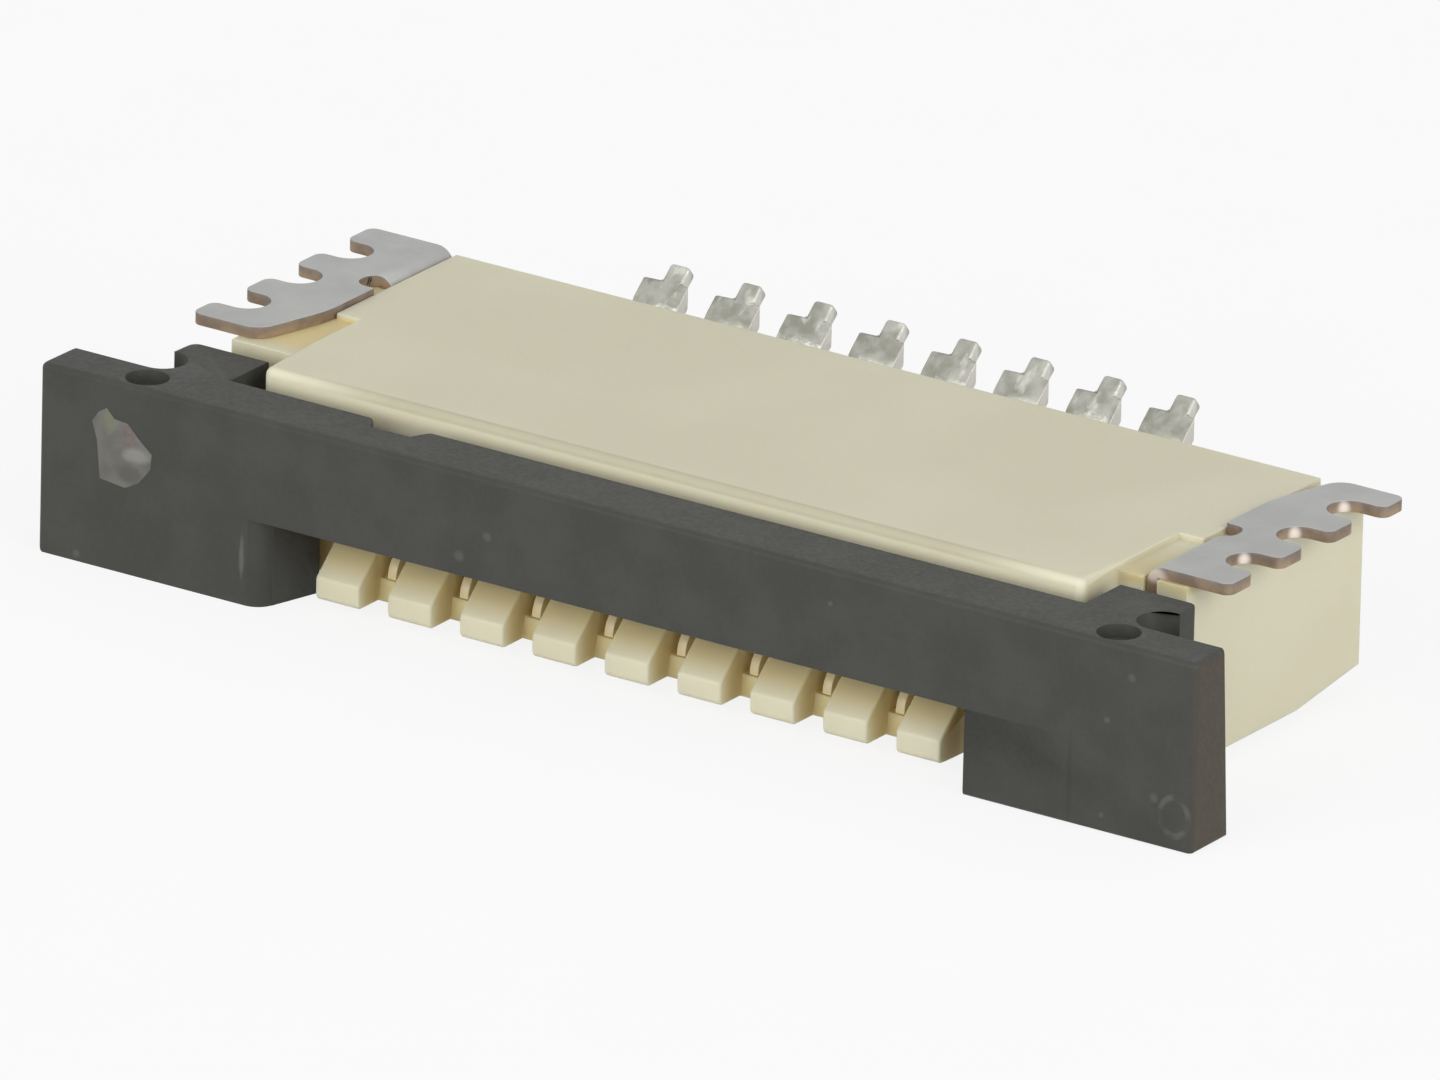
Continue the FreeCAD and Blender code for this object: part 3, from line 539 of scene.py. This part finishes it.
def near_hole(x, y, z):
    """Near the pocket in a wing or the notch at the root of an arm."""
    return 5.8 < abs(x) < 7.3 and FACE + 0.04 < y < BAR_REAR + 0.53


def on_bar_rear(x, y, z):
    """The bar's top rear edge and the upright corners of its key notch."""
    if abs(x) > ARM_INNER + 0.03 or y > BAR_REAR + 0.08:
        return False
    at_key = KEY_NOTCH[0] < x < KEY_NOTCH[1] and y > BAR_REAR - 0.27
    return at_key or (on_top(x, y, z) and y > BAR_REAR - 0.17)


def on_rear_top(x, y, z):
    """The top edges of the arms and of the bar's rear, away from the holes."""
    return on_top(x, y, z) and y > BAR_REAR - 0.17 and abs(x) < 7 and not near_hole(x, y, z)


def on_outline(x, y, z):
    """The slider's ends, its top front edge and the right block's lower front edge."""
    on_front = y < FACE + 0.01
    at_foot = z < 0.01 and x > MOUTH_SIDE + 0.2
    return abs(x) > SLIDER_END - 0.05 or (on_front and (z > BAR_TOP - 0.02 or at_foot))


def on_bar_and_arms(x, y, z):
    return y < ARM_REAR + 0.18


def make_slider():
    form = flat_copy(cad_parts["slider"])
    square_up(form)
    form = cut(form, corner_cutter())
    join_flats(form)
    round_edges(form, 0.07, 3, on_outline)
    round_edges(form, 0.05, 3, on_bar_rear, clamp=False)
    round_edges(form, 0.05, 2, on_rear_top)
    round_edges(form, 0.02, 2, on_top)
    round_edges(form, 0.02, 2, on_bar_and_arms)
    add_scar(form)
    materials = [slider_material(), scar_material()]
    make_piece("slider_moulding", form, materials, "slider", "slider")


DEEP_WRINKLE = 0.03
LIGHT_WRINKLE = 0.012


def on_tail_nib(x, y, z):
    """The narrow end of a solder tail."""
    return y > 2.98


def make_contact(number):
    """One contact. Every second tail is wrinkled more deeply, and each has its own pattern."""
    name = f"contact_{number}"
    wrinkle = DEEP_WRINKLE if number % 2 else LIGHT_WRINKLE
    pattern_shift = (number * 3.1, number * 1.7, 0)
    material = contact_material(f"contact_plate_{number}", pattern_shift, wrinkle)
    form = flat_copy(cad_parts[name])
    round_edges(form, 0.05, 3, on_tail_nib)
    round_edges(form, 0.02, 2, anywhere)
    make_piece(f"{name}_spring", form, [material], name, "housing")


# How far out the teeth and their tips begin, how far from the nail's middle the last tip and the
# slanted end begin, the slanted edge's end along X, and how much this stamping is off.
NAIL_TEETH_FROM = 6.5
NAIL_TIPS_FROM = 7.0
NAIL_LAST_TIP_FROM = 1.3
NAIL_END_FROM = 1.68
NAIL_SLANT_CORNER = 6.28
TEETH_SHIFT = 0.05
END_SHORTER = 0.08


def on_slant_corner(x, y, z):
    """The plate's inner corner at the end of its slanted edge."""
    return abs(abs(x) - NAIL_SLANT_CORNER) < 0.01 and z > NAIL_SEAT - 0.06


def make_nail(side, material):
    """A fitting nail as this one was stamped: a few tips set over, its slanted end short and round.

    The right nail's last tip stays in place and its other teeth are set over, and the left nail
    has it the other way round.
    """
    name = f"fitting_nail_{side}"
    turn = 1 if side == "right" else -1
    form = flat_copy(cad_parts[name])
    for vert in form.verts:
        x, y, z = vert.co / MM
        along = turn * (y - NAIL_MIDDLE)
        on_last_tip = along > NAIL_LAST_TIP_FROM and abs(x) > NAIL_TIPS_FROM
        if abs(x) > NAIL_TEETH_FROM and on_last_tip != (side == "right"):
            vert.co.x -= TEETH_SHIFT * MM
        if along > NAIL_END_FROM and z > NAIL_SEAT - 0.06:
            vert.co.y -= turn * END_SHORTER * MM
    round_edges(form, 0.2, 5, on_slant_corner, clamp=False)
    round_edges(form, 0.012, 2, anywhere, clamp=False)
    make_piece(f"{name}_plate", form, [material], name, "housing")


def dress_frame():
    make_housing()
    make_slider()
    for number in range(1, 9):
        make_contact(number)
    plate = nail_material()
    for side in ("left", "right"):
        make_nail(side, plate)


def plain_rays(tree):
    """1 for the rays that see the plain background: camera, mirror and see-through rays."""
    seen = tree.nodes.new("ShaderNodeLightPath")
    total = seen.outputs["Is Camera Ray"]
    for name in ("Is Glossy Ray", "Is Transmission Ray"):
        add = tree.nodes.new("ShaderNodeMath")
        add.operation = "ADD"
        add.use_clamp = True
        tree.links.new(total, add.inputs[0])
        tree.links.new(seen.outputs[name], add.inputs[1])
        total = add.outputs[0]
    return total


FLOOR_HALF = 600
FLOOR_GLOW = 0.86


def make_floor():
    """A plain pale floor that keeps a soft shadow: mostly a white glow, and the rest a matt grey."""
    mesh = bpy.data.meshes.new("floor")
    half = FLOOR_HALF * MM
    mesh.from_pydata([(-half, -half, 0), (half, -half, 0), (half, half, 0), (-half, half, 0)], [],
                     [(0, 1, 2, 3)])
    floor = bpy.data.objects.new("floor", mesh)
    bpy.context.scene.collection.objects.link(floor)
    n = Nodes("pale_floor")
    diffuse = n.add("ShaderNodeBsdfDiffuse")
    grain = n.ramp(n.noise(2.0, 3), 0.3, 0.7)
    n.feed(diffuse.inputs["Color"], n.mix(grain, (0.86, 0.86, 0.86, 1), (0.88, 0.88, 0.88, 1)))
    glow = n.add("ShaderNodeEmission")
    glow.inputs["Color"].default_value = (1, 1, 1, 1)
    glow.inputs["Strength"].default_value = 1.0
    share = n.math("MULTIPLY", plain_rays(n.tree), FLOOR_GLOW)
    mix = n.add("ShaderNodeMixShader")
    n.feed(mix.inputs["Fac"], share)
    n.feed(mix.inputs[1], diffuse.outputs[0])
    n.feed(mix.inputs[2], glow.outputs[0])
    n.feed(n.output.inputs["Surface"], mix.outputs[0])
    mesh.materials.append(n.material)


def make_world():
    """A plain white background that gives the object only a dim, even light."""
    world = bpy.data.worlds.new("studio")
    bpy.context.scene.world = world
    world.use_nodes = True
    tree = world.node_tree
    tree.nodes.clear()
    output = tree.nodes.new("ShaderNodeOutputWorld")
    ambient = tree.nodes.new("ShaderNodeBackground")
    ambient.inputs["Color"].default_value = (0.98, 0.99, 1.0, 1)
    ambient.inputs["Strength"].default_value = 0.35
    white = tree.nodes.new("ShaderNodeBackground")
    white.inputs["Color"].default_value = (1, 1, 1, 1)
    white.inputs["Strength"].default_value = 1.0
    mix = tree.nodes.new("ShaderNodeMixShader")
    tree.links.new(plain_rays(tree), mix.inputs["Fac"])
    tree.links.new(ambient.outputs[0], mix.inputs[1])
    tree.links.new(white.outputs[0], mix.inputs[2])
    tree.links.new(mix.outputs[0], output.inputs["Surface"])


def towards(azimuth, elevation):
    """The way from the object to a place at this azimuth from the front and this height, in degrees."""
    turn, lift = math.radians(azimuth), math.radians(elevation)
    return Vector((math.sin(turn) * math.cos(lift), -math.cos(turn) * math.cos(lift), math.sin(lift)))


def add_lamp(name, azimuth, elevation, distance_mm, size_mm, strength):
    """A square soft box aimed at the object. Its energy is set so that distance doesn't dim it."""
    lamp = bpy.data.lights.new(name, "AREA")
    lamp.shape = "SQUARE"
    lamp.size = size_mm * MM
    distance = distance_mm * MM
    lamp.energy = strength * math.pi * math.pi * distance * distance
    item = bpy.data.objects.new(name, lamp)
    back = towards(azimuth, elevation)
    item.location = back * distance
    item.rotation_mode = "QUATERNION"
    item.rotation_quaternion = back.to_track_quat("Z", "Y")
    bpy.context.scene.collection.objects.link(item)


# Each lamp's azimuth and elevation in degrees, its distance and its side, and its strength.
LAMPS = {
    "front_box": (-15, 22, 300, 220, 0.55),
    "side_box": (75, 22, 300, 220, 0.52),
    "top_box": (150, 65, 300, 240, 0.11),
}


def make_lights():
    for name, settings in LAMPS.items():
        add_lamp(name, *settings)


# Angles in degrees. The lens and the sensor are the camera's own millimetres.
CAMERA_AZIMUTH = 33.487
CAMERA_ELEVATION = 20.810
CAMERA_ROLL = -1.460
CAMERA_AIM = (0.6505, -2.0524, 1.7544)
CAMERA_DISTANCE = 413.80
CAMERA_LENS = 907.87
CAMERA_SENSOR = 36.0


def make_camera():
    """The photograph's viewing angle: a long lens from the front right, looking down a little."""
    camera = bpy.data.objects.new("camera", bpy.data.cameras.new("camera"))
    camera.data.sensor_width = CAMERA_SENSOR
    camera.data.lens = CAMERA_LENS
    back = towards(CAMERA_AZIMUTH, CAMERA_ELEVATION)
    right = towards(CAMERA_AZIMUTH + 90, 0)
    up = back.cross(right)
    roll = math.radians(CAMERA_ROLL)
    turned_right = right * math.cos(roll) - up * math.sin(roll)
    turned_up = back.cross(turned_right)
    place = (Vector(CAMERA_AIM) + back * CAMERA_DISTANCE) * MM
    camera.matrix_world = Matrix((
        (turned_right.x, turned_up.x, back.x, place.x),
        (turned_right.y, turned_up.y, back.y, place.y),
        (turned_right.z, turned_up.z, back.z, place.z),
        (0, 0, 0, 1),
    ))
    camera.data.clip_start, camera.data.clip_end = 0.01, 10
    bpy.context.scene.collection.objects.link(camera)
    bpy.context.scene.camera = camera


make_camera()
make_world()
make_lights()
make_floor()
dress_frame()
bpy.context.scene.view_settings.view_transform = "Standard"
